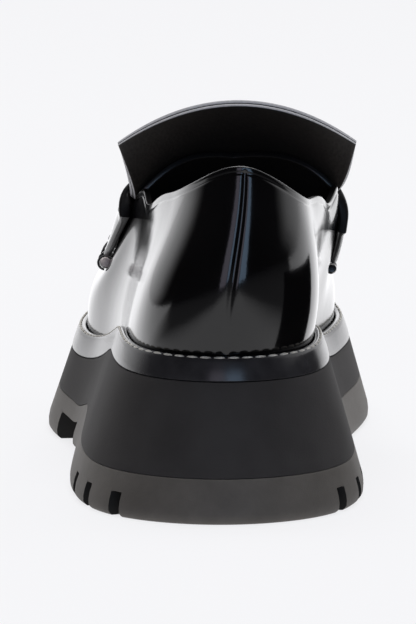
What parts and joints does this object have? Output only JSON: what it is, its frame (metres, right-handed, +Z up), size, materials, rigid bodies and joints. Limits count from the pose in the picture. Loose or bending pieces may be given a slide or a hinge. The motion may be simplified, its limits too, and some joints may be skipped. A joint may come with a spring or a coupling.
{
  "type": "tassel loafer",
  "caption": "Black leather tassel loafer for the left foot, with a tall square tongue, saddle strap, stitched welt and thick flared platform sole with notched lugs.",
  "frame": {"origin": "on the floor under the middle of the sole's outline", "axes": "+Y from heel to toe, +X to the wearer's right, which is the inner side of this left shoe, +Z up"},
  "size_m": [0.109, 0.2778, 0.121],
  "materials": {
    "outsole_rubber": "matte moulded",
    "midsole_rubber": "matte ground",
    "welt_leather": "polished edge",
    "insole_leather": "matte",
    "upper_leather": "glossy",
    "tongue_leather": "glossy outside, matte lining",
    "strap_leather": "glossy",
    "tassel_leather": "glossy"
  },
  "bodies": {
    "root": {"outsole": "outsole_rubber", "midsole": "midsole_rubber", "welt": "welt_leather", "insole": "insole_leather", "upper": "upper_leather", "tongue": "tongue_leather", "saddle_strap": "strap_leather", "tassel_knot": "tassel_leather", "tassel_outer": "tassel_leather", "tassel_inner": "tassel_leather"}
  },
  "joints": []
}
